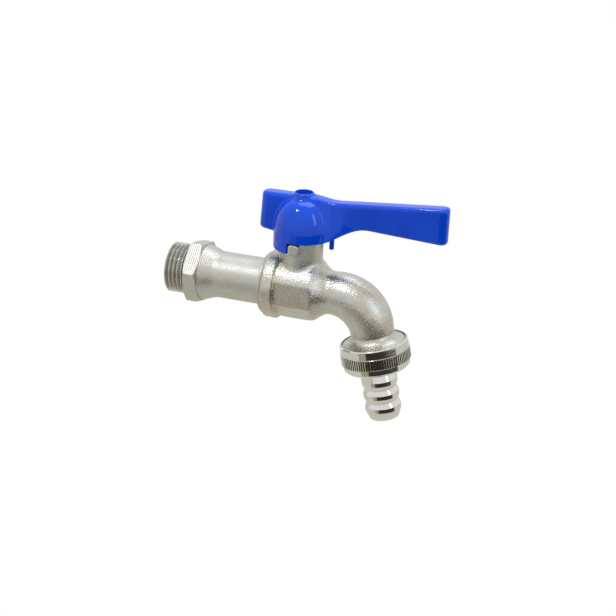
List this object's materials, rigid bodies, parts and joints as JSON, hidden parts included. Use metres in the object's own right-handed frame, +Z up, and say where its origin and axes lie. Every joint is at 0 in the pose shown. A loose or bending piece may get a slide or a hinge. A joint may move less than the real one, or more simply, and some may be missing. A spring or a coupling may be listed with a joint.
{
  "type": "lever ball tap with hose union",
  "caption": "Outdoor lever ball tap with a long threaded inlet neck, a quarter-turn handle, a bent spout and a union with a barbed hose tail.",
  "frame": {"origin": "centre of the face of the inlet hexagon that faces the wall", "axes": "+X along the water's way through the inlet, away from the wall; +Z up, along the stem; +Y to the left of someone who stands at the wall and looks out along +X"},
  "size_m": [0.117, 0.0288, 0.0945],
  "materials": {
    "nickel_casting": "satin nickel plated brass, shot blasted",
    "nickel_turned": "bright nickel plated brass, turned",
    "blue_enamel": "glossy blue powder coat on die cast zinc",
    "steel": "zinc plated steel",
    "chromed_ball": "polished chrome on brass",
    "bare_brass": "machined brass",
    "seat_plastic": "white seat plastic",
    "black_rubber": "black rubber"
  },
  "bodies": {
    "tap": {"inlet_neck": "nickel_casting", "neck_seal_ring": "black_rubber", "valve_body": "nickel_casting", "inlet_seat": "seat_plastic", "outlet_seat": "seat_plastic", "inlet_seat_backing_ring": "black_rubber", "outlet_seat_backing_ring": "black_rubber", "stem_thrust_washer": "seat_plastic", "stem_guide_bush": "seat_plastic"},
    "lever": {"lever_handle": "blue_enamel", "handle_screw": "steel", "spring_washer": "steel", "stem": "bare_brass", "ball": "chromed_ball", "stem_lower_seal": "black_rubber", "stem_upper_seal": "black_rubber"},
    "gasket": {"union_gasket": "black_rubber"},
    "nut": {"union_nut": "nickel_turned"},
    "tail": {"hose_tail": "nickel_turned"}
  },
  "joints": [
    {"name": "lever_turn", "type": "hinge", "parent": "tap", "child": "lever", "pos_m": [0.0475, 0, 0], "axis": [0, 0, 1], "range_deg": [-90, 0]},
    {"name": "union_travel", "type": "slide", "parent": "tap", "child": "gasket", "axis": [0.2045, 0, -0.9789], "range_m": [0, 0.00544]},
    {"name": "nut_turn", "type": "hinge", "parent": "gasket", "child": "nut", "pos_m": [0.08124, 0, -0.02344], "axis": [0.2045, 0, -0.9789], "range_deg": [0, 1080]},
    {"name": "tail_swivel", "type": "hinge", "parent": "gasket", "child": "tail", "pos_m": [0.08186, 0, -0.02638], "axis": [0.2045, 0, -0.9789], "continuous": true}
  ],
  "couplings": [
    {"joint": "union_travel", "follows": "nut_turn", "m_per_rad": 0.00028871}
  ]
}
